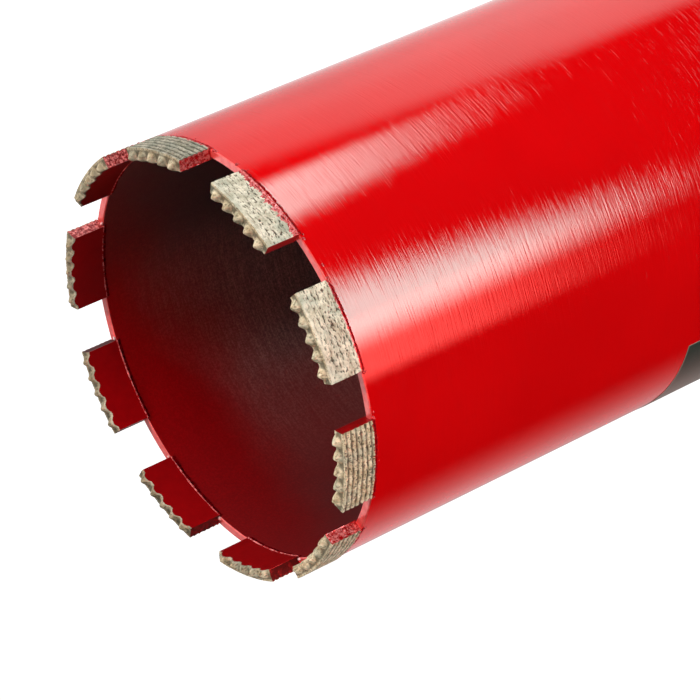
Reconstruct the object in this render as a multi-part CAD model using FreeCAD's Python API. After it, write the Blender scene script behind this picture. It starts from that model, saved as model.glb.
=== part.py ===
"""Diamond core bit: a thin steel barrel with sintered segments on its rim and a threaded hub behind its cap.

The bit stands on its hub with the cutting end up. The origin is the centre of the hub's end face, +Z points to
the cutting end, and the first segment is centred on +X. Lengths are in millimetres and angles in degrees.
"""
import FreeCAD
import Part
import math
import os

# Barrel
cutting_diameter = 122.0
tube_wall = 2.5
tube_length = 450.0

# Segments on the rim
segment_count = 10
segment_length = 24.0
segment_thickness = 3.5
segment_height = 9.8
groove_count = 6
groove_edge_margin = 1.0
groove_width = 0.55
groove_depth = 0.25

# Pyramid teeth on each segment's cutting face
teeth_per_segment = 5
tooth_height = 1.75
tooth_end_margin = 0.5
tooth_gap = 0.8
tooth_depth = 3.5
tooth_top = 0.5
tooth_inset = 1.0

# Cap that closes the barrel
cap_thickness = 10.0
cap_spigot_length = 5.0
cap_edge_chamfer = 2.0
fit_clearance = 0.05

# Hub with a 1 1/4 inch 7 threads per inch female thread
hub_diameter = 50.0
hub_length = 38.0
hub_spigot_diameter = 40.0
hub_edge_chamfer = 1.0
inch = 25.4
thread_major_diameter = 1.25 * inch
threads_per_inch = 7
countersink_margin = 0.6
spanner_width = 41.0
spanner_flat_start = 9.0
spanner_flat_length = 18.0

# Weld beads
cap_weld_groove = 1.5
hub_weld_leg = 5.0

# Plain label patch on the barrel
label_thickness = 0.12
label_width = 100.0
label_length = 180.0
label_rim_distance = 111.0
label_start_angle = 108.5

# Worked out from the sizes above
segment_outer_radius = cutting_diameter / 2
segment_inner_radius = segment_outer_radius - segment_thickness
wall_middle_radius = segment_outer_radius - segment_thickness / 2
tube_outer_radius = wall_middle_radius + tube_wall / 2
tube_inner_radius = wall_middle_radius - tube_wall / 2
hub_radius = hub_diameter / 2
hub_spigot_radius = hub_spigot_diameter / 2
thread_depth_per_pitch = 0.54127
thread_pitch = inch / threads_per_inch
thread_minor_radius = thread_major_diameter / 2 - thread_depth_per_pitch * thread_pitch
countersink_radius = thread_major_diameter / 2 + countersink_margin
countersink_depth = countersink_radius - thread_minor_radius
cap_rear_z = hub_length
cap_shoulder_z = cap_rear_z + cap_thickness
cap_front_z = cap_shoulder_z + cap_spigot_length
rim_z = cap_shoulder_z + tube_length
cutting_face_z = rim_z + segment_height
segment_angle = math.degrees(segment_length / wall_middle_radius)
segment_pitch_angle = 360 / segment_count
tooth_row_length = segment_length - 2 * tooth_end_margin
tooth_pitch_angle = math.degrees(tooth_row_length / wall_middle_radius) / teeth_per_segment
groove_spacing = (segment_height - 2 * groove_edge_margin) / (groove_count - 1)

ORIGIN = FreeCAD.Vector(0, 0, 0)
AXIS = FreeCAD.Vector(0, 0, 1)
SIDEWAYS = FreeCAD.Vector(1, 0, 0)


def profile_point(radius, z):
    """A point of a turned profile, which lies in the XZ plane."""
    return FreeCAD.Vector(radius, 0, z)


def turned(profile, angle=360):
    """The solid that a closed profile, given as pairs of radius and height, sweeps about the bit's axis."""
    points = [profile_point(radius, z) for radius, z in profile]
    return Part.Face(Part.makePolygon(points + points[:1])).revolve(ORIGIN, AXIS, angle)


def rotated(shape, angle):
    """A copy of a shape, turned about the bit's axis."""
    copy = shape.copy()
    copy.rotate(ORIGIN, AXIS, angle)
    return copy


def make_barrel():
    """The tube, with its rear edge bevelled for the cap's weld."""
    return turned([
        (tube_inner_radius, cap_shoulder_z),
        (tube_outer_radius - cap_weld_groove, cap_shoulder_z),
        (tube_outer_radius, cap_shoulder_z + cap_weld_groove),
        (tube_outer_radius, rim_z),
        (tube_inner_radius, rim_z),
    ])


def groove_profile(index):
    """The three corners of one shallow groove round a segment's outer face."""
    middle = rim_z + groove_edge_margin + index * groove_spacing
    return [
        (segment_outer_radius, middle - groove_width / 2),
        (segment_outer_radius - groove_depth, middle),
        (segment_outer_radius, middle + groove_width / 2),
    ]


def make_segment_body():
    """A curved block on the rim, centred on +X, with grooves round its outer face."""
    profile = [(segment_inner_radius, rim_z), (segment_outer_radius, rim_z)]
    for index in range(groove_count):
        profile += groove_profile(index)
    profile += [(segment_outer_radius, cutting_face_z), (segment_inner_radius, cutting_face_z)]
    return rotated(turned(profile, segment_angle), -segment_angle / 2)


def make_tooth():
    """One blunt pyramid on the cutting face, cut flush where it reaches the segment's inner face."""
    middle_radius = segment_inner_radius + tooth_inset
    tooth_length = math.radians(tooth_pitch_angle) * segment_inner_radius - tooth_gap
    foot_x = tooth_depth / 2
    foot_y = tooth_length / 2
    top = tooth_top / 2
    pyramid = Part.makeWedge(-foot_x, 0, -foot_y, -top, -top, foot_x, tooth_height, foot_y, top, top)
    pyramid.rotate(ORIGIN, SIDEWAYS, 90)
    pyramid.translate(profile_point(middle_radius, cutting_face_z))
    inside = Part.makeCylinder(segment_inner_radius, tooth_height, profile_point(0, cutting_face_z), AXIS)
    return pyramid.cut(inside)


def make_segment():
    """One segment, centred on +X, with its row of teeth."""
    tooth = make_tooth()
    first = -(teeth_per_segment - 1) / 2 * tooth_pitch_angle
    teeth = [rotated(tooth, first + index * tooth_pitch_angle) for index in range(teeth_per_segment)]
    return make_segment_body().fuse(teeth).removeSplitter()


def make_end_cap():
    """The turned disc behind the tube: a shoulder the tube sits on, a spigot inside it and the hub's hole."""
    hole_radius = hub_spigot_radius + fit_clearance
    spigot_radius = tube_inner_radius - fit_clearance
    return turned([
        (hole_radius, cap_rear_z),
        (tube_outer_radius - cap_edge_chamfer, cap_rear_z),
        (tube_outer_radius, cap_rear_z + cap_edge_chamfer),
        (tube_outer_radius, cap_shoulder_z - cap_weld_groove),
        (tube_outer_radius - cap_weld_groove, cap_shoulder_z),
        (spigot_radius, cap_shoulder_z),
        (spigot_radius, cap_front_z),
        (hole_radius, cap_front_z),
    ])


def spanner_flat(side):
    """The block of metal that one spanner flat takes off the hub."""
    reach = hub_radius - spanner_width / 2
    corner = FreeCAD.Vector(-hub_radius, spanner_width / 2, spanner_flat_start)
    block = Part.makeBox(hub_diameter, reach, spanner_flat_length, corner)
    return rotated(block, 180 * side)


def make_hub():
    """The turned hub, bored to the thread's minor diameter, with its spigot through the cap."""
    hub = turned([
        (countersink_radius, 0),
        (hub_radius - hub_edge_chamfer, 0),
        (hub_radius, hub_edge_chamfer),
        (hub_radius, cap_rear_z),
        (hub_spigot_radius, cap_rear_z),
        (hub_spigot_radius, cap_front_z),
        (thread_minor_radius, cap_front_z),
        (thread_minor_radius, countersink_depth),
    ])
    return hub.cut([spanner_flat(side) for side in range(2)])


def make_cap_weld():
    """The ring of weld that fills the groove between the tube and the cap, dressed flush with the tube."""
    return turned([
        (tube_outer_radius - cap_weld_groove, cap_shoulder_z),
        (tube_outer_radius, cap_shoulder_z - cap_weld_groove),
        (tube_outer_radius, cap_shoulder_z + cap_weld_groove),
    ])


def make_hub_weld():
    """The fillet of weld in the corner between the hub and the cap's rear face."""
    return turned([
        (hub_radius, cap_rear_z),
        (hub_radius, cap_rear_z - hub_weld_leg),
        (hub_radius + hub_weld_leg, cap_rear_z),
    ])


def make_label():
    """A thin patch stuck round part of the barrel."""
    top_z = rim_z - label_rim_distance
    angle = math.degrees(label_width / tube_outer_radius)
    patch = turned([
        (tube_outer_radius, top_z - label_length),
        (tube_outer_radius + label_thickness, top_z - label_length),
        (tube_outer_radius + label_thickness, top_z),
        (tube_outer_radius, top_z),
    ], angle)
    return rotated(patch, label_start_angle)


def make_parts():
    """Every piece of the bit, by node name."""
    parts = {
        "barrel": make_barrel(),
        "end_cap": make_end_cap(),
        "hub": make_hub(),
        "cap_weld": make_cap_weld(),
        "hub_weld": make_hub_weld(),
        "label": make_label(),
    }
    segment = make_segment()
    for index in range(segment_count):
        parts[f"segment_{index + 1:02d}"] = rotated(segment, -index * segment_pitch_angle)
    return parts


def export(parts):
    """Writes one file for each piece."""
    os.makedirs("parts", exist_ok=True)
    for name, shape in parts.items():
        shape.exportStep(f"parts/{name}.step")


export(make_parts())
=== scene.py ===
"""Diamond core bit: the finish of every surface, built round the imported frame.

The bit stands on its hub with the cutting end up. Lengths are in metres, and the small ones are written as
millimetres times MM. A row angle is in degrees round the bit's axis, from +X through the middle of the first
segment.
"""
import math
import random
from collections import namedtuple

import bpy
import numpy as np
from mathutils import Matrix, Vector, noise


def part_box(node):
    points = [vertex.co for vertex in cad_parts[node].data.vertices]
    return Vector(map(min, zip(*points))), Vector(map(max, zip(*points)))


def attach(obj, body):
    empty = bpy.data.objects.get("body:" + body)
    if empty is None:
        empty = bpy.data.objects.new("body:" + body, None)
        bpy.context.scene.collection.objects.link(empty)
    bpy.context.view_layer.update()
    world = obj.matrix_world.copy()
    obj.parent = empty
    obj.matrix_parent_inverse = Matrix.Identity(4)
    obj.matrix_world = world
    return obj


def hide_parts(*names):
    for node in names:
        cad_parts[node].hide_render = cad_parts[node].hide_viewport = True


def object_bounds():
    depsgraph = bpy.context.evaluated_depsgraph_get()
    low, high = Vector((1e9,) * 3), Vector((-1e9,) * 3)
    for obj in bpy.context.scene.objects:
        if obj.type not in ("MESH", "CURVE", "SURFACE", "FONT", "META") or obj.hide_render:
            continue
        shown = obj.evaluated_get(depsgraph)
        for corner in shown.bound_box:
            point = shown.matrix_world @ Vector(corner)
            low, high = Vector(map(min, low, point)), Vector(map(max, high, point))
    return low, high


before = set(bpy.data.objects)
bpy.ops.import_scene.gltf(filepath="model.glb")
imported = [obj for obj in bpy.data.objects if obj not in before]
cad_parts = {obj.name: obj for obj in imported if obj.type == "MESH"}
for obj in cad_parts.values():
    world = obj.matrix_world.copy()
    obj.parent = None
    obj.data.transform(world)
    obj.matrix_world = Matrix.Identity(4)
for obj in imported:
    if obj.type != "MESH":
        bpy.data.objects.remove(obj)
cad_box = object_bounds()

MM = 0.001
UP = Vector((0, 0, 1))

# Sizes read from the frame
barrel_low, barrel_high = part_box("barrel")
cap_low, cap_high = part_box("end_cap")
label_low, label_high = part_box("label")
_, hub_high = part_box("hub")
_, hub_weld_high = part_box("hub_weld")
_, segment_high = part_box("segment_01")
TUBE_RADIUS = barrel_high.x
RIM_Z = barrel_high.z
CAP_SHOULDER_Z = barrel_low.z
CAP_REAR_Z = cap_low.z
CAP_FRONT_Z = cap_high.z
HUB_RADIUS = hub_high.x
HUB_WELD_LEG = hub_weld_high.x - HUB_RADIUS
SEGMENT_RADIUS = segment_high.x
SEGMENT_TOP_Z = segment_high.z
SEGMENT_HALF_ANGLE = math.asin(segment_high.y / SEGMENT_RADIUS)
SEGMENTS = sorted(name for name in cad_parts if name.startswith("segment"))

# Sizes that the boxes don't give
TUBE_WALL = 2.5 * MM
SEGMENT_THICKNESS = 3.5 * MM
TOOTH_HEIGHT = 1.75 * MM
TOOTH_COUNT = 5
CUTTING_Z = SEGMENT_TOP_Z - TOOTH_HEIGHT
SEGMENT_HEIGHT = CUTTING_Z - RIM_Z
TUBE_INSIDE = TUBE_RADIUS - TUBE_WALL
SEGMENT_INSIDE = SEGMENT_RADIUS - SEGMENT_THICKNESS

# The photograph's camera, fitted to the rim, the segments' corners and the barrel's outline. Its lens and its
# sensor are in millimetres.
CAMERA_PLACE = Vector((-188.54, -811.84, 964.53)) * MM
CAMERA_AIM = Vector((-11.87, 2.58, 463.87)) * MM
CAMERA_ROLL = math.radians(-114.57)
CAMERA_LENS = 186.31
CAMERA_SENSOR = 36.0


# Meshes

def mesh_object(name, vertices, faces, sharp_angle=None):
    """A new smooth object from points and faces. Edges sharper than the angle stay sharp."""
    mesh = bpy.data.meshes.new(name)
    mesh.from_pydata([tuple(v) for v in vertices], [], [tuple(f) for f in faces])
    mesh.shade_smooth()
    if sharp_angle is not None:
        mesh.set_sharp_from_angle(angle=math.radians(sharp_angle))
    mesh.update()
    piece = bpy.data.objects.new(name, mesh)
    bpy.context.scene.collection.objects.link(piece)
    return piece


def ring_faces(rows, columns, closed_rows, closed_columns):
    """The quads of a grid of rows by columns, closed in either direction."""
    faces = []
    for row in range(rows if closed_rows else rows - 1):
        next_row = (row + 1) % rows
        for column in range(columns if closed_columns else columns - 1):
            next_column = (column + 1) % columns
            faces.append((row * columns + column, row * columns + next_column,
                          next_row * columns + next_column, next_row * columns + column))
    return faces


def on_axis(radius, angle, z):
    """The point at a radius, an angle in radians and a height."""
    return (radius * math.cos(angle), radius * math.sin(angle), z)


def angles_round(steps):
    """Evenly spaced angles in radians, once round."""
    return [2 * math.pi * step / steps for step in range(steps)]


def lathe(name, profile, steps, sharp_angle=30):
    """A turned solid from a closed profile of (radius, z), given anticlockwise."""
    points = [on_axis(radius, angle, z) for angle in angles_round(steps) for radius, z in profile]
    return mesh_object(name, points, ring_faces(steps, len(profile), True, True), sharp_angle)


def wave(place, scale):
    """Smooth noise between about -1 and 1 at a point, with bumps of the given size."""
    return noise.noise(Vector([value / scale for value in place]))


def smooth_step(low, high, value):
    """0 on the side of low and 1 on the side of high, with a smooth change between them."""
    share = min(1.0, max(0.0, (value - low) / (high - low)))
    return share * share * (3 - 2 * share)


# Node materials

def new_material(name):
    """An empty node material and its tree."""
    material = bpy.data.materials.new(name)
    material.use_nodes = True
    material.node_tree.nodes.clear()
    return material, material.node_tree


def node(tree, kind, settings=None, **inputs):
    """Adds a node. An input is a value or another node's output, and its name has _ for each space."""
    added = tree.nodes.new(kind)
    for key, value in (settings or {}).items():
        setattr(added, key, value)
    for key, value in inputs.items():
        connect(tree, added.inputs[key.replace("_", " ")], value)
    return added


def connect(tree, socket, value):
    """Links an output to a socket, or sets the socket's value."""
    if isinstance(value, bpy.types.NodeSocket):
        tree.links.new(value, socket)
    else:
        socket.default_value = value


def calculate(tree, operation, first, second=0.0, third=0.0):
    """The result of a sum on one to three values."""
    added = tree.nodes.new("ShaderNodeMath")
    added.operation = operation
    for socket, value in zip(added.inputs, (first, second, third)):
        connect(tree, socket, value)
    return added.outputs[0]


def ramp(tree, value, low, high, from_value=0.0, to_value=1.0):
    """Takes a value between low and high to a smooth value between from_value and to_value."""
    added = node(tree, "ShaderNodeMapRange", {"interpolation_type": "SMOOTHSTEP"}, Value=value,
                 From_Min=low, From_Max=high, To_Min=from_value, To_Max=to_value)
    return added.outputs["Result"]


def mixed(tree, share, first, second):
    """A colour between two colours."""
    added = tree.nodes.new("ShaderNodeMix")
    added.data_type = "RGBA"
    connect(tree, added.inputs["Factor"], share)
    connect(tree, added.inputs[6], first)
    connect(tree, added.inputs[7], second)
    return added.outputs[2]


def object_place(tree, stretch=(1, 1, 1)):
    """The point of the surface in the part's frame, in metres, stretched along each axis."""
    place = node(tree, "ShaderNodeTexCoord").outputs["Object"]
    return node(tree, "ShaderNodeMapping", Vector=place, Scale=stretch).outputs["Vector"]


def grain(tree, place, scale, detail=3.0, roughness=0.5):
    """Noise between 0 and 1."""
    added = node(tree, "ShaderNodeTexNoise", Vector=place, Scale=scale, Detail=detail, Roughness=roughness)
    return added.outputs["Fac"]


def bump(tree, height, distance, strength=1.0):
    """A normal roughened by a height."""
    return node(tree, "ShaderNodeBump", Height=height, Distance=distance, Strength=strength).outputs["Normal"]


def attribute(tree, name):
    """A number stored on the mesh."""
    return node(tree, "ShaderNodeAttribute", {"attribute_name": name}).outputs["Fac"]


def surface(tree, **inputs):
    """The material's output, as one principled shader."""
    shader = node(tree, "ShaderNodeBsdfPrincipled", **inputs)
    node(tree, "ShaderNodeOutputMaterial", Surface=shader.outputs[0])


def emission(tree, tone, strength):
    """A shader that gives light."""
    return node(tree, "ShaderNodeEmission", Color=tone, Strength=strength).outputs[0]


def sum_of_shaders(tree, first, second):
    """The material's output, as the sum of two shaders."""
    both = node(tree, "ShaderNodeAddShader")
    tree.links.new(first, both.inputs[0])
    tree.links.new(second, both.inputs[1])
    node(tree, "ShaderNodeOutputMaterial", Surface=both.outputs[0])


def colour(red, green, blue):
    """A colour from its values as a picture shows them, 0 to 255."""
    linear = []
    for value in (red, green, blue):
        share = value / 255
        linear.append(share / 12.92 if value <= 10 else ((share + 0.055) / 1.055) ** 2.4)
    return (*linear, 1.0)


# Lacquer on the outside, and the tints of its reflections and of the label's
LACQUER_RED = colour(214, 4, 8)
LACQUER_DARK_RED = colour(205, 3, 7)
LACQUER_GLOSS = (0.42, 1.0, 0.93, 1)
FILM_GLOSS = (0.45, 1.0, 0.8, 1)

# Inside the tube: the row angles where the lacquer reaches furthest in and where the painted reflection on
# the steel is brightest, how far the lacquer's edge wanders and slants, the heights between which it fades,
# and those of the red stain
SPRAYED_ANGLE = 105
REFLECTION_ANGLE = 78
EDGE_WANDER = 16 * MM
EDGE_SLANT = 42 * MM
EDGE_LOW = RIM_Z - 18 * MM
EDGE_HIGH = RIM_Z + 34 * MM
STAIN_TOP = RIM_Z - 26 * MM
STAIN_FULL = RIM_Z - 52 * MM


def ground_scratches(tree):
    """Fine lines that run round the bit, from the grinding of the tube under its lacquer."""
    long_lines = grain(tree, object_place(tree, (95, 95, 2300)), 1.0, 0.5, 0.5)
    short_lines = grain(tree, object_place(tree, (240, 240, 3600)), 1.0, 0.0, 0.5)
    return calculate(tree, "MULTIPLY_ADD", short_lines, 0.4, calculate(tree, "MULTIPLY", long_lines, 0.6))


def lacquered_outside():
    """Clear red lacquer over steel that was ground round the tube."""
    material, tree = new_material("lacquer_over_ground_steel")
    scratches = ground_scratches(tree)
    cloud = grain(tree, object_place(tree), 22.0, 2.0)
    red = mixed(tree, ramp(tree, cloud, 0.35, 0.65), LACQUER_RED, LACQUER_DARK_RED)
    red = mixed(tree, ramp(tree, scratches, 0.35, 0.7, 0.0, 0.35), red, LACQUER_DARK_RED)
    surface(tree, Base_Color=red, Roughness=ramp(tree, scratches, 0.5, 0.66, 0.05, 0.1), IOR=1.5,
            Specular_IOR_Level=0.58, Specular_Tint=LACQUER_GLOSS, Normal=bump(tree, scratches, 0.042 * MM))
    return material


def facing(tree, parts, degrees):
    """The cosine of the angle between a row angle and a point on the tube's inside, from its X and Y."""
    angle = math.radians(degrees)
    along_x = calculate(tree, "MULTIPLY", parts.outputs["X"], math.cos(angle) / TUBE_INSIDE)
    return calculate(tree, "MULTIPLY_ADD", parts.outputs["Y"], math.sin(angle) / TUBE_INSIDE, along_x)


def lacquered_inside():
    """Thin lacquer inside the tube, which runs out into dark steel with a pale painted reflection, painted
    shade and a red stain.
    """
    material, tree = new_material("lacquer_inside")
    place = node(tree, "ShaderNodeTexCoord").outputs["Object"]
    parts = node(tree, "ShaderNodeSeparateXYZ", Vector=place)
    speckle = grain(tree, place, 1700.0, 2.0, 0.7)
    sprayed = facing(tree, parts, SPRAYED_ANGLE)
    ragged = calculate(tree, "MULTIPLY_ADD", grain(tree, place, 45.0, 3.0), EDGE_WANDER, parts.outputs["Z"])
    ragged = calculate(tree, "MULTIPLY_ADD", sprayed, EDGE_SLANT, ragged)
    painted = ramp(tree, ragged, EDGE_LOW, EDGE_HIGH)
    red = mixed(tree, ramp(tree, speckle, 0.35, 0.75), colour(150, 2, 8), colour(174, 6, 14))
    steel = mixed(tree, ramp(tree, speckle, 0.4, 0.8), colour(98, 84, 82), colour(112, 96, 92))
    # A pale reflection painted on the steel, brightest round one row angle and broken up by speckle and
    # grinding lines.
    painted_reflection = calculate(tree, "MULTIPLY", ramp(tree, facing(tree, parts, REFLECTION_ANGLE), 0.7, 1.0),
                     ramp(tree, speckle, 0.36, 0.66, 0.2, 0.75))
    painted_reflection = calculate(tree, "MULTIPLY", painted_reflection, ramp(tree, ground_scratches(tree), 0.4, 0.6, 0.6, 1.25))
    steel = mixed(tree, painted_reflection, steel, colour(192, 146, 138))
    tone = mixed(tree, painted, steel, red)
    # Painted shade: the inside is darker within about 50 degrees of row angle 0 and beyond about 70 degrees
    # from it.
    sideways = facing(tree, parts, 0)
    darkening = calculate(tree, "MAXIMUM", ramp(tree, sideways, 0.65, 0.9, 0.0, 0.42),
                     ramp(tree, sideways, -1.0, 0.3, 0.5, 0.0))
    tone = mixed(tree, darkening, tone, colour(20, 32, 32))
    stain = calculate(tree, "MULTIPLY", ramp(tree, sprayed, 0.88, 1.0, 0.0, 0.62),
                      ramp(tree, parts.outputs["Z"], STAIN_TOP, STAIN_FULL))
    tone = mixed(tree, stain, tone, colour(142, 32, 32))
    surface(tree, Base_Color=tone, Metallic=0.1, Roughness=0.45, Specular_IOR_Level=0.2, Coat_Weight=0.3,
            Coat_Roughness=0.25, Normal=bump(tree, speckle, 0.04 * MM))
    return material


def rim_lacquer_with_painted_sheen():
    """Lacquer on the tube's end face, painted pale pink for the sheen of the light that it catches from
    above.
    """
    material, tree = new_material("lacquer_on_rim_with_painted_sheen")
    speckle = grain(tree, object_place(tree), 500.0, 2.0)
    # Pale pink in place of the lacquer's red: painted sheen of the light from above.
    red = mixed(tree, ramp(tree, speckle, 0.3, 0.7), colour(224, 66, 62), colour(238, 98, 92))
    surface(tree, Base_Color=red, Metallic=0.3, Roughness=0.3, Coat_Weight=0.6, Coat_Roughness=0.12,
            Normal=bump(tree, speckle, 0.03 * MM))
    return material


def sintered_segment():
    """Matrix where the mesh says bare, and lacquer elsewhere, both darkened by the mesh's dirt and painted
    shade, with painted pale glints where it says beads.
    """
    material, tree = new_material("sintered_matrix_and_lacquer")
    place = object_place(tree)
    coarse = grain(tree, place, 420.0, 3.0, 0.6)
    fine = grain(tree, place, 2400.0, 2.0, 0.6)
    bare = ramp(tree, calculate(tree, "MULTIPLY_ADD", coarse, 0.5, attribute(tree, "bare")), 0.62, 0.88)
    dirt_and_shade = attribute(tree, "dirt_and_shade")
    warm = grain(tree, place, 190.0, 2.0)
    cream = mixed(tree, ramp(tree, coarse, 0.35, 0.65), colour(192, 184, 160), colour(241, 231, 208))
    brown = mixed(tree, ramp(tree, coarse, 0.35, 0.65), colour(206, 182, 144), colour(250, 228, 192))
    pale = mixed(tree, attribute(tree, "warmth"), cream, brown)
    pale = mixed(tree, ramp(tree, warm, 0.45, 0.7, 0.0, 0.5), pale, colour(160, 168, 150))
    pits = ramp(tree, fine, 0.3, 0.42, 0.45, 0.0)
    shade = calculate(tree, "MULTIPLY_ADD", pits, calculate(tree, "SUBTRACT", 1.0, dirt_and_shade), dirt_and_shade)
    matrix = mixed(tree, shade, pale, mixed(tree, warm, colour(44, 32, 14), colour(26, 36, 26)))
    lacquer = mixed(tree, coarse, colour(156, 2, 10), colour(192, 6, 14))
    # Lacquer darkened by the mesh's dirt and painted shade.
    lacquer = mixed(tree, dirt_and_shade, lacquer, colour(58, 12, 10))
    tone = mixed(tree, bare, lacquer, matrix)
    # Painted glints: pale pink flecks on beaded and rough lacquer.
    flecks = grain(tree, place, 1200.0, 3.0, 0.7)
    beads = attribute(tree, "beads")
    painted_glints = calculate(tree, "MULTIPLY", ramp(tree, flecks, 0.42, 0.64), beads)
    tone = mixed(tree, painted_glints, tone, colour(246, 140, 134))
    rough = calculate(tree, "MULTIPLY_ADD", calculate(tree, "MULTIPLY", flecks, beads), 4.0, fine)
    dull = calculate(tree, "MAXIMUM", bare, dirt_and_shade)
    surface(tree, Base_Color=tone, Specular_IOR_Level=0.12,
            Roughness=ramp(tree, dull, 0.0, 1.0, 0.3, 0.52), Coat_Weight=ramp(tree, dull, 0.2, 1.0, 1.0, 0.0),
            Coat_Roughness=0.1, Normal=bump(tree, rough, 0.05 * MM, ramp(tree, bare, 0.0, 1.0, 0.35, 1.0)),
            Coat_Normal=bump(tree, rough, 0.03 * MM))
    return material


def weld_lacquer(name, dark, light, gloss):
    """Lacquer that ran and beaded over the laser welds and their spatter, or is painted dark as the shade
    beside them.
    """
    material, tree = new_material(name)
    lumps = grain(tree, object_place(tree), 1300.0, 2.0)
    red = mixed(tree, ramp(tree, lumps, 0.35, 0.65), dark, light)
    surface(tree, Base_Color=red, Roughness=0.5, Specular_IOR_Level=0.0, Coat_Weight=gloss,
            Coat_Roughness=0.12, Normal=bump(tree, lumps, 0.08 * MM),
            Coat_Normal=bump(tree, lumps, 0.05 * MM))
    return material


def turned_steel():
    """Steel with the fine rings of a lathe tool."""
    material, tree = new_material("turned_steel")
    place = node(tree, "ShaderNodeTexCoord").outputs["Object"]
    parts = node(tree, "ShaderNodeSeparateXYZ", Vector=place)
    squares = [calculate(tree, "POWER", parts.outputs[axis], 2.0) for axis in ("X", "Y")]
    radius = calculate(tree, "SQRT", calculate(tree, "ADD", *squares))
    rings = node(tree, "ShaderNodeCombineXYZ", X=radius, Y=parts.outputs["Z"]).outputs["Vector"]
    lines = grain(tree, rings, 2600.0, 2.0)
    cloud = grain(tree, place, 60.0, 3.0)
    tone = mixed(tree, ramp(tree, cloud, 0.3, 0.7), colour(168, 168, 170), colour(196, 196, 198))
    tone = mixed(tree, ramp(tree, lines, 0.45, 0.75, 0.0, 0.4), tone, colour(120, 120, 124))
    surface(tree, Base_Color=tone, Metallic=0.9, Roughness=ramp(tree, lines, 0.3, 0.7, 0.28, 0.42),
            Normal=bump(tree, lines, 0.04 * MM))
    return material


def weld_metal():
    """Weld bead with a faint blue and straw heat tint."""
    material, tree = new_material("weld_metal")
    place = object_place(tree)
    cloud = grain(tree, place, 130.0, 3.0)
    tint = mixed(tree, ramp(tree, cloud, 0.4, 0.62), colour(128, 122, 116), colour(150, 140, 122))
    tone = mixed(tree, ramp(tree, cloud, 0.55, 0.75), tint, colour(92, 96, 112))
    surface(tree, Base_Color=tone, Metallic=0.85, Roughness=0.42,
            Normal=bump(tree, grain(tree, place, 1500.0, 2.0), 0.05 * MM))
    return material


def label_film():
    """Plain black film, its cut edge painted pale as a highlight."""
    material, tree = new_material("label_film")
    edge = attribute(tree, "edge")
    texture = grain(tree, object_place(tree), 1200.0, 2.0)
    tone = mixed(tree, ramp(tree, texture, 0.3, 0.7), colour(18, 30, 24), colour(28, 40, 33))
    # Painted highlight along the film's cut edge.
    tone = mixed(tree, edge, tone, colour(150, 150, 140))
    surface(tree, Base_Color=tone, Roughness=0.34, Specular_Tint=FILM_GLOSS, Coat_Weight=0.3,
            Coat_Roughness=0.25, Coat_Tint=FILM_GLOSS, Normal=bump(tree, texture, 0.01 * MM))
    return material


OUTSIDE = lacquered_outside()
INSIDE = lacquered_inside()
RIM = rim_lacquer_with_painted_sheen()
MATRIX = sintered_segment()
STEEL = turned_steel()
WELD = weld_metal()
FILM = label_film()
WELD_LACQUER = weld_lacquer("lacquer_on_welds", colour(130, 4, 10), colour(190, 30, 34), 1.0)
# Pale pink lacquer on the inner weld seams: painted highlight along them.
WELD_LACQUER_PAINTED_HIGHLIGHT = weld_lacquer("lacquer_on_welds_painted_highlight", colour(160, 14, 20), colour(236, 126, 122), 0.7)
# Pale lacquer on the rim's drops: painted highlights.
DROP_LACQUER_PAINTED_HIGHLIGHT = weld_lacquer("lacquer_on_drops_painted_highlight", colour(226, 130, 126), colour(255, 224, 220), 1.0)
# Dark lacquer for the line inside the tube under each segment's step: painted shadow.
SHADOW_LACQUER = weld_lacquer("lacquer_painted_as_shadow", colour(70, 0, 4), colour(130, 0, 8), 0.0)
# Dark red lacquer for the band outside the tube under each segment's step: painted shadow and dark
# reflection.
SOFT_SHADOW_LACQUER = weld_lacquer("lacquer_painted_as_soft_shadow", colour(112, 2, 8), colour(168, 4, 12), 0.1)


def finished(piece, slot, *nodes, materials):
    """Gives a piece its materials, hangs it from the root body and hides the nodes that it stands for. The
    slot is not used.
    """
    for material in materials:
        piece.data.materials.append(material)
    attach(piece, "root")
    if nodes:
        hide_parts(*nodes)


def store(piece, name, values):
    """Stores a number for each point of a mesh."""
    piece.data.attributes.new(name, "FLOAT", "POINT").data.foreach_set("value", np.array(values, np.float32))


# Barrel

BARREL_STEPS = 360
BARREL_EDGE = 0.25 * MM
CAP_WELD_GROOVE = 1.5 * MM


def make_barrel():
    """The tube, with a broken edge at its rim and a bevel behind."""
    edge = BARREL_EDGE
    profile = [
        (TUBE_INSIDE, CAP_SHOULDER_Z),
        (TUBE_RADIUS - CAP_WELD_GROOVE, CAP_SHOULDER_Z),
        (TUBE_RADIUS, CAP_SHOULDER_Z + CAP_WELD_GROOVE),
        (TUBE_RADIUS, RIM_Z - edge),
        (TUBE_RADIUS - edge, RIM_Z),
        (TUBE_INSIDE + edge, RIM_Z),
        (TUBE_INSIDE, RIM_Z - edge),
    ]
    piece = lathe("tube", profile, BARREL_STEPS)
    finished(piece, "lacquered_steel", "barrel", materials=(OUTSIDE, INSIDE, RIM))
    outside, inside, rim = 0, 1, 2
    by_column = [rim, outside, outside, rim, rim, rim, inside]
    for index, polygon in enumerate(piece.data.polygons):
        polygon.material_index = by_column[index % len(profile)]


# Segments

# Steps of the mesh along a segment, up its sides and through its thickness
STATIONS = 150
HEIGHT_STEPS = 62
DEPTH_STEPS = 17

GROOVE_COUNT = 6
GROOVE_MARGIN = 1.0 * MM
GROOVE_SPACING = (SEGMENT_HEIGHT - 2 * GROOVE_MARGIN) / (GROOVE_COUNT - 1)
GROOVE_DEPTH = 0.3 * MM
SEGMENT_LENGTH = 2 * SEGMENT_HALF_ANGLE * (SEGMENT_RADIUS - SEGMENT_THICKNESS / 2)

# In millimetres: half the width of a groove and of what is left of a worn one, and the heights between which
# worn grooves fade out
GROOVE_HALF_WIDTH = 0.4
WORN_LINE_HALF_WIDTH = 0.2
WORN_FADE_START = 8.2
WORN_FADE_END = 8.9
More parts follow.
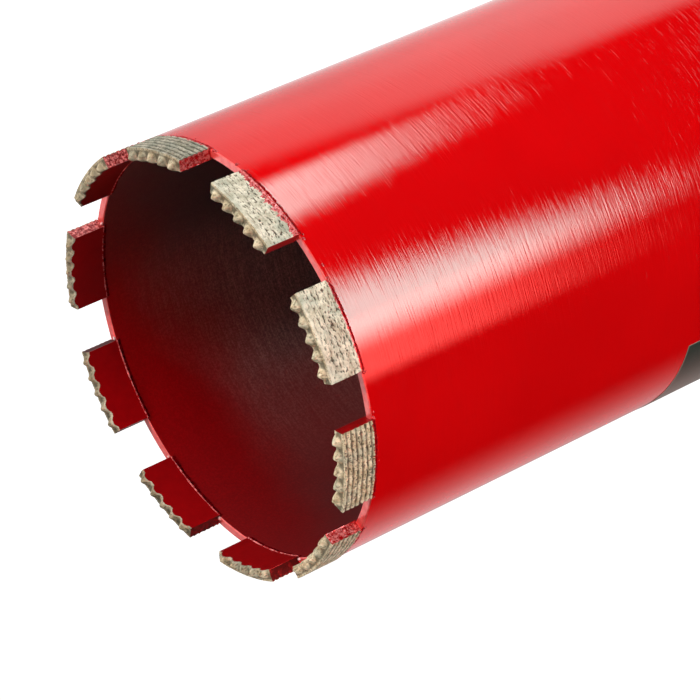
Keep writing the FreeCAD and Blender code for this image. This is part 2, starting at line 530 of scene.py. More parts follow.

# How each segment looks in the photograph: the height of lacquer left on its foot, whether its face is worn
# smooth and its ends are rough, how warm its tone is, and how much darker its outer, cutting and inner faces
# and two ends are, 0 to 1
Look = namedtuple("Look", "foot worn rough_end warmth face_soil edge_soil inside_soot first_end last_end")
SEGMENT_LOOKS = [
    Look(0.8 * MM, False, True, 0.2, 0.2, 0.26, 0.78, 0.7, 0.2),
    Look(0.5 * MM, False, True, 0.0, 0.5, 0.34, 0.3, 0.0, 0.3),
    Look(1.9 * MM, True, False, 0.0, 0.12, 0.12, 0.2, 0.3, 0.3),
    Look(0.3 * MM, True, False, 0.15, 0.0, 0.0, 0.2, 0.5, 0.0),
    Look(0.2 * MM, False, False, 1.0, 0.04, 0.0, 0.2, 0.3, 0.6),
    Look(0.5 * MM, False, True, 0.7, 0.2, 0.0, 0.3, 0.2, 0.15),
    Look(0.8 * MM, False, False, 0.4, 0.2, 0.2, 0.42, 0.3, 1.0),
    Look(0.8 * MM, False, False, 0.4, 0.2, 0.46, 0.27, 0.3, 0.85),
    Look(0.8 * MM, False, False, 0.4, 0.2, 0.42, 0.05, 1.0, 0.9),
    Look(0.8 * MM, False, True, 0.2, 0.2, 0.38, 0.18, 0.55, 0.3),
]
# Lacquer left on a foot higher than this is beaded
BEADED_FOOT = 1.2 * MM
# The broken edge of the cutting face, the roughness of that face and of a rough end, and how far the teeth
# stay under the box's top
SEGMENT_EDGE = 0.15 * MM
CUTTING_FACE_ROUGHNESS = 0.10 * MM
END_ROUGHNESS = 0.26 * MM
TOP_CLEARANCE = 0.02 * MM

TOOTH_INSET = 1.0 * MM
TOOTH_HALF_DEPTH = 1.75 * MM
TOOTH_GAP = 0.8 * MM
TOOTH_END_MARGIN = 0.5 * MM
# The flat top of a tooth, as a share of its half width
TOOTH_TIP = 0.16


def segment_middle(number):
    """The angle in radians of a segment's middle."""
    return -2 * math.pi * number / len(SEGMENTS)


def station_angle(number, station):
    """The angle in radians of a station along a segment."""
    return segment_middle(number) + SEGMENT_HALF_ANGLE * (2 * station / STATIONS - 1)


def tooth_place(along, seed):
    """Which tooth is at a place along a segment, 0 to 1, and how far from the tooth's middle, -0.5 to 0.5."""
    margin = TOOTH_END_MARGIN / SEGMENT_LENGTH
    in_row = (along - margin) / (1 - 2 * margin) * TOOTH_COUNT
    tooth = min(TOOTH_COUNT - 1, max(0, math.floor(in_row)))
    return tooth, in_row - tooth - 0.5 + 0.05 * wave((tooth * 3.7, seed, 0.5), 1.0)


def tooth_height(along, radius, seed):
    """The height of the row of blunt pyramids at a place along a segment, 0 to 1, and at a radius."""
    tooth, cell = tooth_place(along, seed)
    pitch = 2 * SEGMENT_HALF_ANGLE * (1 - 2 * TOOTH_END_MARGIN / SEGMENT_LENGTH) / TOOTH_COUNT
    reach = pitch * SEGMENT_INSIDE / 2 - TOOTH_GAP / 2
    sideways = abs(cell) * pitch * SEGMENT_INSIDE / reach
    inset = TOOTH_INSET * (1 + 0.25 * wave((tooth * 2.3, 0.7, seed), 1.0))
    inwards = abs(radius - SEGMENT_INSIDE - inset) / TOOTH_HALF_DEPTH
    spread = (sideways ** 3 + inwards ** 3) ** (1 / 3)
    return TOOTH_HEIGHT * min(1.0, max(0.0, (1 - spread) / (1 - TOOTH_TIP)))


def groove_dip(along, height, seed, worn):
    """How deep the ragged grooves and pits go at a place on a segment's outer face, 0 to 1."""
    length = along * SEGMENT_LENGTH / MM
    up = height / MM
    place = (length, up, seed * 5.0)
    bend = 0.18 * wave((length, 0, seed), 3.0) + 0.10 * wave(place, 0.9)
    row = (up - GROOVE_MARGIN / MM + bend) / (GROOVE_SPACING / MM)
    offset = abs(row - round(row)) * GROOVE_SPACING / MM
    if worn:
        dashes = smooth_step(0.12, 0.42, wave((length * 0.8, up * 1.9, seed * 3.0), 0.62))
        dashes *= 1.0 if offset < 0.5 else 0.45
        broken = smooth_step(-0.3, 0.3, wave((length, round(row) * 3.0, seed), 2.5))
        line = 0.5 * max(0.0, 1 - offset / WORN_LINE_HALF_WIDTH) * broken
        return max(0.9 * dashes * smooth_step(WORN_FADE_END, WORN_FADE_START, up), line)
    width = GROOVE_HALF_WIDTH + 0.18 * wave((length, round(row) * 7.0, seed), 1.1)
    depth = max(0.0, 1 - (offset / max(0.15, width)) ** 2)
    depth *= 0.55 + 0.45 * smooth_step(-0.4, 0.3, wave((length, round(row) * 3.0, seed + 2), 1.5))
    pits = smooth_step(0.14, 0.42, wave((length, up, seed * 3.0), 0.42))
    return max(depth, 0.85 * pits)


def segment_section(along, seed, look):
    """One loop round a segment: radius, height, and then bare, dirt and painted shade, warmth and beads of
    each point.

    It runs up the outer side, inwards over the cutting face, down the inner side and outwards along the foot.
    """
    loop = []
    foot = look.foot
    foot_beads = 0.5 if foot > BEADED_FOOT else 0.0
    length = along * SEGMENT_LENGTH / MM
    for step in range(HEIGHT_STEPS):
        height = SEGMENT_HEIGHT * step / HEIGHT_STEPS
        dip = groove_dip(along, height, seed, look.worn)
        skin = 0.05 * wave((length, height / MM, seed), 0.7)
        radius = SEGMENT_RADIUS - GROOVE_DEPTH * (dip + 0.12 + skin)
        edge = foot * (0.85 + 0.6 * wave((length, 0, seed), 1.6) + 0.5 * wave((length, 5, seed), 0.5))
        bare = smooth_step(edge - 0.2 * MM, edge + 0.2 * MM, height)
        # Grooves and pits are darkened by their depth, painted shade in the recesses; the face's darkening
        # adds to that on the bare part.
        dirt_and_shade = dip + (1 - dip) * look.face_soil * bare
        loop.append((radius, RIM_Z + height, bare, dirt_and_shade, look.warmth, foot_beads * (1 - bare)))
    for step in range(DEPTH_STEPS):
        radius = SEGMENT_RADIUS - SEGMENT_EDGE - (SEGMENT_THICKNESS - SEGMENT_EDGE) * step / DEPTH_STEPS
        lift = tooth_height(along, radius, seed)
        up_tooth = lift / TOOTH_HEIGHT
        rough = CUTTING_FACE_ROUGHNESS * wave((length, radius / MM, seed + 1), 0.55) * (1 - 0.5 * up_tooth)
        crack = smooth_step(0.3, 0.55, wave((length, radius / MM, seed + 4), 0.6))
        z = min(CUTTING_Z + lift + rough - CUTTING_FACE_ROUGHNESS * crack, SEGMENT_TOP_Z - TOP_CLEARANCE)
        # Painted cast shadow in the valleys between the teeth.
        valley_shadow = smooth_step(0.3, 0.0, up_tooth)
        valley_shadow *= smooth_step(0.5 * MM, 0.9 * MM, SEGMENT_RADIUS - radius)
        valley_shadow *= smooth_step(0.3 * MM, 1.3 * MM, radius - SEGMENT_INSIDE)
        grime = 0.12 + 0.5 * wave((length, radius / MM, seed + 9), 0.6)
        spots = 0.7 * smooth_step(0.2, 0.45, wave((length, radius / MM, seed + 14), 0.38))
        # Painted shade on the trailing side of each tooth.
        lee_shade = 0.5 * smooth_step(-0.02, -0.3, tooth_place(along, seed)[1]) * smooth_step(0.0, 0.4, up_tooth)
        dirt_and_shade = max(0.7 * crack, 0.75 * valley_shadow, grime, spots, lee_shade)
        loop.append((radius, z, 1.0, dirt_and_shade + (1 - dirt_and_shade) * look.edge_soil, 1.0, 0.0))
    top = CUTTING_Z + tooth_height(along, SEGMENT_INSIDE, seed) - CUTTING_FACE_ROUGHNESS
    for step in range(HEIGHT_STEPS):
        z = top - (top - RIM_Z) * step / HEIGHT_STEPS
        bare = 1 - smooth_step(0.1, 0.5, (top - z) / MM + 0.2 * wave((length, z / MM, seed), 0.5))
        loop.append((SEGMENT_INSIDE, z, bare, look.inside_soot, look.warmth, 0.0))
    for step in range(DEPTH_STEPS):
        radius = SEGMENT_INSIDE + SEGMENT_THICKNESS * step / DEPTH_STEPS
        loop.append((radius, RIM_Z, 0.0, 0.0, look.warmth, 0.0))
    return loop


def points_within(loop, columns, rows):
    """The radius and height of points inside a section, row by row, between its outer and inner sides."""
    outer = loop[:rows]
    inner = loop[rows + columns:2 * rows + columns][::-1]
    points = []
    for row in range(1, rows):
        (outer_radius, outer_z), (inner_radius, inner_z) = outer[row][:2], inner[row - 1][:2]
        for column in range(1, columns):
            share = column / columns
            points.append((outer_radius + (inner_radius - outer_radius) * share,
                           outer_z + (inner_z - outer_z) * share))
    return points


def segment_end(loop, loop_start, inner_start, turned_over):
    """The inner points and the faces that close a segment's end, on a grid between its two sides.

    loop_start and inner_start are the vertex numbers of the loop's and of the inner points' first point.
    """
    rows, columns = HEIGHT_STEPS, DEPTH_STEPS

    def number(row, column):
        """The vertex number at a grid place: row 0 is the foot, and column 0 the outer side."""
        if column == 0 and row < rows:
            return loop_start + row
        if row == rows:
            return loop_start + rows + column
        if column == columns:
            return loop_start + rows + columns + (rows - row)
        if row == 0:
            return loop_start + 2 * rows + columns + (columns - column)
        return inner_start + (row - 1) * (columns - 1) + column - 1

    faces = []
    for row in range(rows):
        for column in range(columns):
            face = [number(row, column), number(row, column + 1), number(row + 1, column + 1),
                    number(row + 1, column)]
            faces.append(face[::-1] if turned_over else face)
    return points_within(loop, columns, rows), faces


def make_segment(name, number):
    """One segment: grooves on its outer face, blunt teeth on its cutting face, lacquer on its other sides."""
    look = SEGMENT_LOOKS[number]
    loops = [segment_section(station / STATIONS, number, look) for station in range(STATIONS + 1)]
    total = len(loops[0])
    vertices, stored = [], []
    for station, loop in enumerate(loops):
        angle = station_angle(number, station)
        for radius, z, *values in loop:
            vertices.append(on_axis(radius, angle, z))
            stored.append(values)
    faces = ring_faces(STATIONS + 1, total, False, True)
    for station in (0, STATIONS):
        points, end_faces = segment_end(loops[station], station * total, len(vertices), station == 0)
        angle = station_angle(number, station)
        inwards = 1 if station == 0 else -1
        darkening = look.first_end if station == 0 else look.last_end
        for radius, z in points:
            dent = 0.0
            if look.rough_end:
                dent = END_ROUGHNESS * (0.5 + 0.5 * wave((radius / MM, z / MM, number + station), 0.6))
            vertices.append(on_axis(radius, angle + inwards * dent / radius, z))
            dirt_and_shade = min(1.0, darkening * (1 + 0.3 * wave((radius / MM, z / MM, number), 0.8)))
            stored.append((0.0, dirt_and_shade, look.warmth, 0.85 if look.rough_end else 0.0))
        faces += end_faces
    piece = mesh_object(name + "_dressed", vertices, faces, 50)
    for kind, values in zip(("bare", "dirt_and_shade", "warmth", "beads"), zip(*stored)):
        store(piece, kind, values)
    finished(piece, "sintered_matrix", name, materials=(MATRIX,))


# Welds at the rim

SEAM_STEPS = 160
SEAM_SIDES = 8
# The share of a segment's length that its seams cover
SEAM_REACH = 0.995
# The laser weld's seam at a segment's foot and the painted shadow line beside it, outside and inside: name,
# lacquer, radius, depth under the rim, thickness and seed
SEAMS = [
    ("outer_seam", WELD_LACQUER, TUBE_RADIUS + 0.1 * MM, 0.1 * MM, 0.2 * MM, 0),
    ("outer_shadow_line", SOFT_SHADOW_LACQUER, TUBE_RADIUS - 0.12 * MM, 0.6 * MM, 0.5 * MM, 60),
    ("inner_seam", WELD_LACQUER_PAINTED_HIGHLIGHT, SEGMENT_INSIDE + 0.14 * MM, 0.12 * MM, 0.34 * MM, 30),
    ("inner_shadow_line", SHADOW_LACQUER, TUBE_INSIDE + 0.12 * MM, 0.95 * MM, 0.5 * MM, 90),
]


def seam(name, material, radius, z, thickness, number, seed):
    """A thin, uneven bead along a segment's foot, which thins out in places."""
    vertices = []
    for step in range(SEAM_STEPS + 1):
        share = step / SEAM_STEPS
        angle = segment_middle(number) + SEGMENT_HALF_ANGLE * (2 * share - 1) * SEAM_REACH
        place = share * SEGMENT_LENGTH / MM
        swell = 0.8 + 0.3 * wave((place, 0, seed), 0.6) + 0.4 * wave((place, 3, seed), 2.4)
        thick = thickness * min(1.0, max(0.12, swell))
        for turn in angles_round(SEAM_SIDES):
            vertices.append(on_axis(radius + thick * math.cos(turn), angle, z + thick * math.sin(turn)))
    faces = ring_faces(SEAM_STEPS + 1, SEAM_SIDES, False, True)
    faces.append(tuple(range(SEAM_SIDES))[::-1])
    faces.append(tuple(SEAM_STEPS * SEAM_SIDES + side for side in range(SEAM_SIDES)))
    finished(mesh_object(name, vertices, faces, 60), "lacquered_steel", materials=(material,))


def make_seams():
    """The weld's seams and the painted shadow lines at the foot of every segment."""
    for number in range(len(SEGMENTS)):
        for name, lacquer, radius, depth, thickness, seed in SEAMS:
            seam(f"{name}_{number + 1:02d}", lacquer, radius, RIM_Z - depth, thickness, number, number + seed)


def add_drop(vertices, faces, radius, angle, z, size):
    """Adds a low rounded lump to a mesh, on a wall at a radius. It stays inside the part's box."""
    steps, rings = 14, 9
    reach = min(DROP_HEIGHT * size, (cad_box[1].y - BOX_CLEARANCE) / abs(math.sin(angle)) - radius)
    centre = Vector(on_axis(radius, angle, z))
    outwards = Vector(on_axis(1, angle, 0))
    sideways = UP.cross(outwards)
    first = len(vertices)
    for ring in range(rings + 1):
        slope = math.pi * ring / rings
        flat = size * math.sin(slope)
        for turn in angles_round(steps):
            place = centre + sideways * flat * math.cos(turn) + UP * flat * DROP_SQUASH * math.sin(turn)
            vertices.append(place + outwards * reach * math.cos(slope))
    for face in ring_faces(rings + 1, steps, False, True):
        faces.append(tuple(first + corner for corner in face))


# How far a drop stands off its wall and reaches up it, as shares of its size, and its room to the part's box
DROP_HEIGHT = 0.6
DROP_SQUASH = 0.85
BOX_CLEARANCE = 0.02 * MM
# Spatter that the photograph shows: row angle in degrees, height over the rim and size in millimetres
SEEN_SPATTER = [
    (-57.6, -0.35, 0.62), (-48.9, 0.0, 0.55), (-49.8, -0.1, 0.4), (-92.7, -1.0, 0.5), (-85.0, -0.3, 0.55),
    (-60.9, -0.5, 0.4), (-120.2, -0.1, 0.5), (-132.0, 0.1, 0.6), (-130.6, -0.5, 0.4), (-96.8, -0.4, 0.35),
    (-155.2, -0.3, 0.45), (-168.0, -0.4, 0.4), (-22.5, -0.4, 0.4), (-13.5, -0.3, 0.5),
]
SPATTER_SINK = 0.3 * MM
# Drops on the rim's inner edge: the segment, counted from 0, the place along it, with its ends at -1 and 1,
# and the size in millimetres
SEEN_RIM_DROPS = [
    (9, -1.04, 0.6), (9, -0.44, 0.5), (8, -1.04, 0.6), (7, -1.04, 0.5), (7, -0.86, 0.45), (7, 1.04, 0.7),
    (6, 1.04, 0.65), (0, 1.03, 0.45),
]
RIM_DROP_INSET = 0.4 * MM


def make_spatter():
    """Drops of weld and lacquer at the segments' feet, outside and inside the tube."""
    draw = random.Random(7)
    vertices, faces = [], []
    for angle, height, size in SEEN_SPATTER:
        z = RIM_Z + height * MM - SPATTER_SINK
        add_drop(vertices, faces, TUBE_RADIUS, math.radians(angle), z, size * MM)
    for number in range(len(SEGMENTS)):
        middle = segment_middle(number)
        for side in (-1, 1):
            for radius in (TUBE_RADIUS, TUBE_INSIDE):
                for _ in range(3):
                    angle = middle + side * SEGMENT_HALF_ANGLE * draw.uniform(0.93, 1.05)
                    size = draw.uniform(0.14, 0.36) * MM
                    add_drop(vertices, faces, radius, angle, RIM_Z - size - draw.uniform(0, 1.0) * MM, size)
        for _ in range(7):
            angle = middle + SEGMENT_HALF_ANGLE * draw.uniform(-1, 1)
            size = draw.uniform(0.08, 0.2) * MM
            add_drop(vertices, faces, TUBE_RADIUS, angle, RIM_Z - draw.uniform(0.3, 2.0) * MM, size)
    finished(mesh_object("weld_spatter", vertices, faces), "lacquered_steel", materials=(WELD_LACQUER,))


def make_rim_drops():
    """Drops on the rim's inner edge, painted pale as their highlights, most of them in the corners beside the
    segments.
    """
    vertices, faces = [], []
    for number, along, size in SEEN_RIM_DROPS:
        angle = segment_middle(number) + along * SEGMENT_HALF_ANGLE
        add_drop(vertices, faces, TUBE_INSIDE + RIM_DROP_INSET, angle, RIM_Z, size * MM)
    finished(mesh_object("rim_drops", vertices, faces), "lacquered_steel", materials=(DROP_LACQUER_PAINTED_HIGHLIGHT,))


# Label

LABEL_STEPS = 120
LABEL_THICKNESS = 0.12 * MM
LABEL_WIDTH = 100 * MM
LABEL_START = math.radians(108.5)
LABEL_BORDER = 0.35 * MM
# How far the label's hidden back lies off the tube
LABEL_BACK_GAP = 0.01 * MM


def make_label():
    """The plain black patch, a thin curved sheet with its cut edge painted pale as a highlight."""
    sweep = LABEL_WIDTH / TUBE_RADIUS
    low, high = label_low.z, label_high.z
    rows = [low, low + LABEL_BORDER, high - LABEL_BORDER, high]
    border_angle = LABEL_BORDER / TUBE_RADIUS
    angles = [0, border_angle] + [sweep * step / LABEL_STEPS for step in range(1, LABEL_STEPS)]
    angles += [sweep - border_angle, sweep]
    vertices, edge = [], []
    for radius in (TUBE_RADIUS + LABEL_THICKNESS, TUBE_RADIUS + LABEL_BACK_GAP):
        for column, angle in enumerate(angles):
            for row, z in enumerate(rows):
                vertices.append(on_axis(radius, LABEL_START + angle, z))
                border = row in (0, len(rows) - 1) or column in (0, len(angles) - 1)
                edge.append(1.0 if border else 0.0)
    per_layer = len(angles) * len(rows)
    top = ring_faces(len(angles), len(rows), False, False)
    faces = top + [tuple(per_layer + corner for corner in face[::-1]) for face in top]
    outline = list(range(len(rows)))
    outline += [column * len(rows) + len(rows) - 1 for column in range(1, len(angles))]
    outline += [(len(angles) - 1) * len(rows) + row for row in range(len(rows) - 2, -1, -1)]
    outline += [column * len(rows) for column in range(len(angles) - 2, 0, -1)]
    for first, second in zip(outline, outline[1:] + outline[:1]):
        faces.append((second, first, per_layer + first, per_layer + second))
    piece = mesh_object("label_patch", vertices, faces, 40)
    store(piece, "edge", edge)
    finished(piece, "label_film", "label", materials=(FILM,))


# Cap, hub and their welds

HUB_SPIGOT_RADIUS = 20 * MM
FIT_CLEARANCE = 0.05 * MM
CAP_EDGE_CHAMFER = 2 * MM
CAP_EDGE_ROUND = 0.4 * MM
HUB_EDGE_CHAMFER = 1 * MM
HUB_EDGE_ROUND = 0.15 * MM
INCH = 25.4 * MM
THREADS_PER_INCH = 7
THREAD_PITCH = INCH / THREADS_PER_INCH
THREAD_MAJOR_RADIUS = 1.25 * INCH / 2
THREAD_DEPTH_PER_PITCH = 0.54127
THREAD_MINOR_RADIUS = THREAD_MAJOR_RADIUS - THREAD_DEPTH_PER_PITCH * THREAD_PITCH
# Half the width of the thread's groove, at its mouth and at its root, in pitches
THREAD_MOUTH = 0.375
THREAD_ROOT = 0.0625
THREAD_END_CHAMFER = 0.6 * MM
COUNTERSINK_RADIUS = THREAD_MAJOR_RADIUS + 0.6 * MM
FLAT_HALF_WIDTH = 20.5 * MM
FLAT_LOW = 9 * MM
FLAT_HIGH = 27 * MM
HUB_STEPS = 180
ROWS_PER_TURN = 12
WELD_STEPS = 540
CAP_WELD_ROWS = 9
CAP_WELD_DIP = 0.12 * MM
HUB_WELD_ROWS = 12
WELD_RIPPLES = 84
WELD_RIPPLE_HEIGHT = 0.16 * MM
WELD_CROWN = 0.25 * MM


def make_cap():
    """The turned cap that closes the barrel, with broken edges."""
    hole = HUB_SPIGOT_RADIUS + FIT_CLEARANCE
    spigot = TUBE_INSIDE - FIT_CLEARANCE
    edge = CAP_EDGE_ROUND
    profile = [
        (hole, CAP_REAR_Z),
        (TUBE_RADIUS - CAP_EDGE_CHAMFER - edge, CAP_REAR_Z),
        (TUBE_RADIUS - CAP_EDGE_CHAMFER, CAP_REAR_Z + edge / 3),
        (TUBE_RADIUS - edge / 3, CAP_REAR_Z + CAP_EDGE_CHAMFER),
        (TUBE_RADIUS, CAP_REAR_Z + CAP_EDGE_CHAMFER + edge),
        (TUBE_RADIUS, CAP_SHOULDER_Z - CAP_WELD_GROOVE),
        (TUBE_RADIUS - CAP_WELD_GROOVE, CAP_SHOULDER_Z),
        (spigot, CAP_SHOULDER_Z),
        (spigot, CAP_FRONT_Z - edge),
        (spigot - edge, CAP_FRONT_Z),
        (hole, CAP_FRONT_Z),
    ]
    piece = lathe("cap_disc", profile, BARREL_STEPS)
    finished(piece, "lacquered_steel", "end_cap", materials=(OUTSIDE, INSIDE))
    outside, inside = 0, 1
    outside_columns = 7
    for index, polygon in enumerate(piece.data.polygons):
        polygon.material_index = outside if index % len(profile) < outside_columns else inside


def make_cap_weld():
    """The weld between the tube and the cap, ground flush but for a few low spots."""
    vertices = []
    for angle in angles_round(WELD_STEPS):
        for row in range(CAP_WELD_ROWS):
            share = row / (CAP_WELD_ROWS - 1)
            low_spot = smooth_step(0.1, 0.5, wave((math.cos(angle) * 9, math.sin(angle) * 9, share * 2), 0.8))
            dip = CAP_WELD_DIP * low_spot * math.sin(math.pi * share)
            z = CAP_SHOULDER_Z + CAP_WELD_GROOVE * (2 * share - 1)
            vertices.append(on_axis(TUBE_RADIUS - dip, angle, z))
        vertices.append(on_axis(TUBE_RADIUS - CAP_WELD_GROOVE, angle, CAP_SHOULDER_Z))
    faces = ring_faces(WELD_STEPS, CAP_WELD_ROWS + 1, True, True)
    piece = mesh_object("cap_weld_dressed", vertices, faces, 40)
    finished(piece, "lacquered_steel", "cap_weld", materials=(OUTSIDE,))


def make_hub_weld():
    """The fillet of weld round the hub, with the ripples that a hand-held torch leaves."""
    vertices = []
    for angle in angles_round(WELD_STEPS):
        unsteady = 0.8 * wave((math.cos(angle) * 8, math.sin(angle) * 8, 0), 1.0)
        for row in range(HUB_WELD_ROWS + 1):
            share = row / HUB_WELD_ROWS
            across = 1 - (2 * share - 1) ** 2
            phase = WELD_RIPPLES * angle + 2.6 * across + unsteady
            ripple = WELD_RIPPLE_HEIGHT * across * (0.5 + 0.5 * math.sin(phase))
            out = WELD_CROWN * across + ripple
            radius = HUB_RADIUS + HUB_WELD_LEG * share + out * math.sqrt(0.5)
            z = CAP_REAR_Z - HUB_WELD_LEG * (1 - share) - out * math.sqrt(0.5)
            vertices.append(on_axis(radius, angle, z))
        vertices.append(on_axis(HUB_RADIUS, angle, CAP_REAR_Z))
    faces = [face[::-1] for face in ring_faces(WELD_STEPS, HUB_WELD_ROWS + 2, True, True)]
    finished(mesh_object("hub_weld_bead", vertices, faces, 60), "weld_metal", "hub_weld", materials=(WELD,))


def thread_radius(angle, z):
    """The wall of the hub's bore: a right-handed female thread that starts in a countersink."""
    turns = z / THREAD_PITCH - angle / (2 * math.pi)
    offset = abs(turns - round(turns))
    depth = min(1.0, max(0.0, (THREAD_MOUTH - offset) / (THREAD_MOUTH - THREAD_ROOT)))
    wall = THREAD_MINOR_RADIUS + (THREAD_MAJOR_RADIUS - THREAD_MINOR_RADIUS) * depth
    near_front = z - (CAP_FRONT_Z - THREAD_END_CHAMFER)
    return max(wall, COUNTERSINK_RADIUS - z, THREAD_MINOR_RADIUS + near_front)


def hub_outside(angle, on_flat):
    """The hub's outer radius, with two spanner flats that face +Y and -Y."""
    across = abs(math.sin(angle))
    if on_flat and across * HUB_RADIUS > FLAT_HALF_WIDTH:
        return FLAT_HALF_WIDTH / across
    return HUB_RADIUS


def make_hub():
    """The turned hub, with its thread, its flats and its spigot through the cap."""
    edge = HUB_EDGE_ROUND
    outer_rows = [
        (HUB_EDGE_CHAMFER, False),
        (FLAT_LOW - edge, False),
        (FLAT_LOW + edge, True),
        (FLAT_HIGH - edge, True),
        (FLAT_HIGH + edge, False),
        (CAP_REAR_Z, False),
    ]
    row_count = round(CAP_FRONT_Z / THREAD_PITCH * ROWS_PER_TURN)
    flat_edge = math.asin(FLAT_HALF_WIDTH / HUB_RADIUS)
    corners = [flat_edge, math.pi - flat_edge, math.pi + flat_edge, 2 * math.pi - flat_edge]
    angles = sorted(angles_round(HUB_STEPS) + corners)
    vertices = []
    for angle in angles:
        vertices.append(on_axis(HUB_RADIUS - HUB_EDGE_CHAMFER, angle, 0))
        for z, on_flat in outer_rows:
            vertices.append(on_axis(hub_outside(angle, on_flat), angle, z))
        vertices.append(on_axis(HUB_SPIGOT_RADIUS, angle, CAP_REAR_Z))
        vertices.append(on_axis(HUB_SPIGOT_RADIUS - edge, angle, CAP_FRONT_Z))
        for row in range(row_count + 1):
            z = CAP_FRONT_Z * (1 - row / row_count)
            vertices.append(on_axis(thread_radius(angle, z), angle, z))
    section = len(vertices) // len(angles)
    piece = mesh_object("hub_turned", vertices, ring_faces(len(angles), section, True, True), 30)
    finished(piece, "machined_steel", "hub", materials=(STEEL,))


# Studio

FLOOR_SIZE = 30.0
FLOOR_GREY = (0.8, 0.8, 0.8, 1)
FLOOR_GLOW = 0.66
WORLD_LIGHT = 0.24
# The ring that only reflections see, and its steps up and round
RING_RADIUS = 450 * MM
RING_LOW = 1 * MM
RING_HEIGHT = 1100 * MM
RING_ROWS = 111
RING_COLUMNS = 360
# The height on it that the rim reflects, and the unit of depth below that for the slants of its edges
SLANT_TOP = 256 * MM
SLANT_DROP = 113 * MM
# Its two bright panels: their brightness, and the heights between which both end
FRONT_PANEL = 12.0
RIGHT_PANEL = 9.0
PANELS_FADE_START = 310 * MM
PANELS_FADE_END = 420 * MM
# The heights between which its lower walls give way to what the rim reflects
WALLS_FADE_START = 420 * MM
WALLS_FADE_END = 520 * MM
# Its warm light: the colour, and the brightness beside the front panel and behind the bit
WARM_LIGHT = (1, 0.07, 0.065, 1)
WARM_BESIDE_PANEL = 24.0
WARM_BEHIND = 0.4
WHITE = (1, 1, 1, 1)
# What the lamps face, and each lamp: name, azimuth and elevation in degrees, distance, size and level
LAMP_TARGET = Vector((0, 0, RIM_Z - 60 * MM))
LAMPS = [
    ("key", -58, 6, 1.6, 0.9, 0.58),
    ("top", -28, 58, 1.8, 0.3, 0.72),
    ("fill", -165, -10, 2.0, 1.0, 0.8),
]


def seen_directly(tree):
    """1 for the rays that see the background: camera, glossy and transmission rays."""
    path = node(tree, "ShaderNodeLightPath")
    seen = calculate(tree, "MAXIMUM", path.outputs["Is Camera Ray"], path.outputs["Is Glossy Ray"])
    return calculate(tree, "MAXIMUM", seen, path.outputs["Is Transmission Ray"])


def make_floor():
    """A floor that is near white to the camera and keeps a soft shadow."""
    half = FLOOR_SIZE / 2
    corners = [(-half, -half, 0), (half, -half, 0), (half, half, 0), (-half, half, 0)]
    floor = mesh_object("floor", corners, [(0, 1, 2, 3)])
    material, tree = new_material("pale_floor")
    diffuse = node(tree, "ShaderNodeBsdfDiffuse", Color=FLOOR_GREY).outputs[0]
    lift = calculate(tree, "MULTIPLY", seen_directly(tree), FLOOR_GLOW)
    sum_of_shaders(tree, diffuse, emission(tree, WHITE, lift))
    floor.data.materials.append(material)


def make_world():
    """A white background, and a plain level of light from all round."""
    world = bpy.data.worlds.new("studio")
    bpy.context.scene.world = world
    world.use_nodes = True
    tree = world.node_tree
    tree.nodes.clear()
    strength = ramp(tree, seen_directly(tree), 0.0, 1.0, WORLD_LIGHT, 1.0)
    light = node(tree, "ShaderNodeBackground", Color=WHITE, Strength=strength)
    node(tree, "ShaderNodeOutputWorld", Surface=light.outputs[0])


def between(value, low, high, softness):
    """1 inside a span and 0 outside it, with soft ends."""
    below_high = 1 - smooth_step(high - softness, high + softness, value)
    return smooth_step(low - softness, low + softness, value) * below_high


def slant(z):
    """How far down the ring a height is, in units of SLANT_DROP below SLANT_TOP."""
    return (SLANT_TOP - z) / SLANT_DROP


def panel_radiance(azimuth, z):
    """The two bright panels whose reflections make the bands along the tube."""
    down = slant(z)
    front = FRONT_PANEL * between(azimuth, -121 + 1.5 * down, -95 - 14 * down, 8)
    front *= smooth_step(80 * MM, 195 * MM, z)
    right = RIGHT_PANEL * smooth_step(-61 + 11 * down, -51 + 11 * down, azimuth)
    right *= (1 - smooth_step(-37.5, -29, azimuth)) * smooth_step(145 * MM, 266 * MM, z)
    return (front + right) * (1 - smooth_step(PANELS_FADE_START, PANELS_FADE_END, z))


def wall_radiance(azimuth, z):
    """The pale walls and the dark gaps between them, and the bright side over the rim."""
    down = min(1.4, max(0.0, slant(z)))
    right = 0.5 + 0.6 * (1 - smooth_step(-20, 30, azimuth))
    right *= smooth_step(-24 - 9 * down, -12 - 9 * down, azimuth)
    right *= 0.75 + 0.3 * smooth_step(-8, 15, azimuth) + 0.45 * down
    right *= 1 - smooth_step(58, 82, azimuth)
    back = 0.58 * (1 - 0.2 * down) * between(azimuth, 60, 133, 22)
    upper = 0.05 + 1.5 * between(azimuth, -35, 62, 12)
    share = smooth_step(WALLS_FADE_START, WALLS_FADE_END, z)
    over_rim = 1.3 * between(azimuth, 55, 100, 12) * between(z, 720 * MM, 900 * MM, 50 * MM)
    return (right + back) * (1 - share) + upper * share + over_rim


def warm_radiance(azimuth, z):
    """Red light beside the front panel and behind the bit, which keeps reflections there warm."""
    beside_panel = WARM_BESIDE_PANEL * between(azimuth, -140, -113, 4) * smooth_step(110 * MM, 262 * MM, z)
    behind = WARM_BEHIND * between(azimuth, 100, 143, 9) * between(z, 60 * MM, 470 * MM, 60 * MM)
    return beside_panel + behind


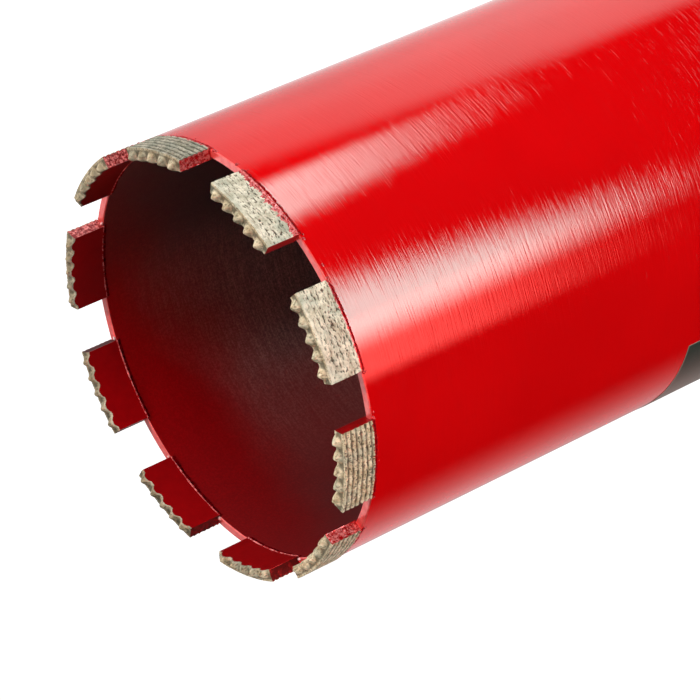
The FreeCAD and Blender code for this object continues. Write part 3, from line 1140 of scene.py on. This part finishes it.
def make_reflections():
    """A ring round the bit that only reflections see."""
    vertices, radiance, warm = [], [], []
    for row in range(RING_ROWS):
        z = RING_HEIGHT * row / (RING_ROWS - 1) + RING_LOW
        for column in range(RING_COLUMNS):
            azimuth = 360 * column / RING_COLUMNS - 180
            vertices.append(on_axis(RING_RADIUS, math.radians(azimuth), z))
            radiance.append(panel_radiance(azimuth, z) + wall_radiance(azimuth, z))
            warm.append(warm_radiance(azimuth, z))
    ring = mesh_object("reflected_studio", vertices, ring_faces(RING_ROWS, RING_COLUMNS, False, True))
    store(ring, "radiance", radiance)
    store(ring, "warm", warm)
    material, tree = new_material("reflected_studio")
    white = emission(tree, WHITE, attribute(tree, "radiance"))
    sum_of_shaders(tree, white, emission(tree, WARM_LIGHT, attribute(tree, "warm")))
    material.cycles.emission_sampling = "NONE"
    ring.data.materials.append(material)
    ring.visible_camera = False
    ring.visible_diffuse = False
    ring.visible_transmission = False
    ring.visible_shadow = False


def make_lamp(name, azimuth, elevation, distance, size, level):
    """A square lamp. Its level is the brightness that it gives a white surface at the target."""
    turn, rise = math.radians(azimuth), math.radians(elevation)
    towards = Vector(on_axis(math.cos(rise), turn, math.sin(rise)))
    data = bpy.data.lights.new(name, "AREA")
    data.shape = "SQUARE"
    data.size = size
    data.energy = level * math.pi * math.pi * distance ** 2
    lamp = bpy.data.objects.new(name, data)
    lamp.location = LAMP_TARGET + towards * distance
    lamp.rotation_euler = (-towards).to_track_quat("-Z", "Y").to_euler()
    lamp.visible_glossy = False
    bpy.context.scene.collection.objects.link(lamp)


def make_camera():
    """The photograph's camera."""
    forward = (CAMERA_AIM - CAMERA_PLACE).normalized()
    level_right = forward.cross(UP).normalized()
    level_up = level_right.cross(forward)
    right = level_right * math.cos(CAMERA_ROLL) + level_up * math.sin(CAMERA_ROLL)
    up = right.cross(forward)
    data = bpy.data.cameras.new("camera")
    data.sensor_width = CAMERA_SENSOR
    data.lens = CAMERA_LENS
    camera = bpy.data.objects.new("camera", data)
    bpy.context.scene.collection.objects.link(camera)
    for column, vector in enumerate((right, up, -forward, CAMERA_PLACE)):
        for row in range(3):
            camera.matrix_world[row][column] = vector[row]
    bpy.context.scene.camera = camera


make_camera()
make_floor()
make_world()
make_reflections()
for lamp in LAMPS:
    make_lamp(*lamp)

make_barrel()
for number, name in enumerate(SEGMENTS):
    make_segment(name, number)
make_seams()
make_spatter()
make_rim_drops()
make_label()
make_cap()
make_cap_weld()
make_hub()
make_hub_weld()

bpy.context.scene.view_settings.view_transform = "Standard"
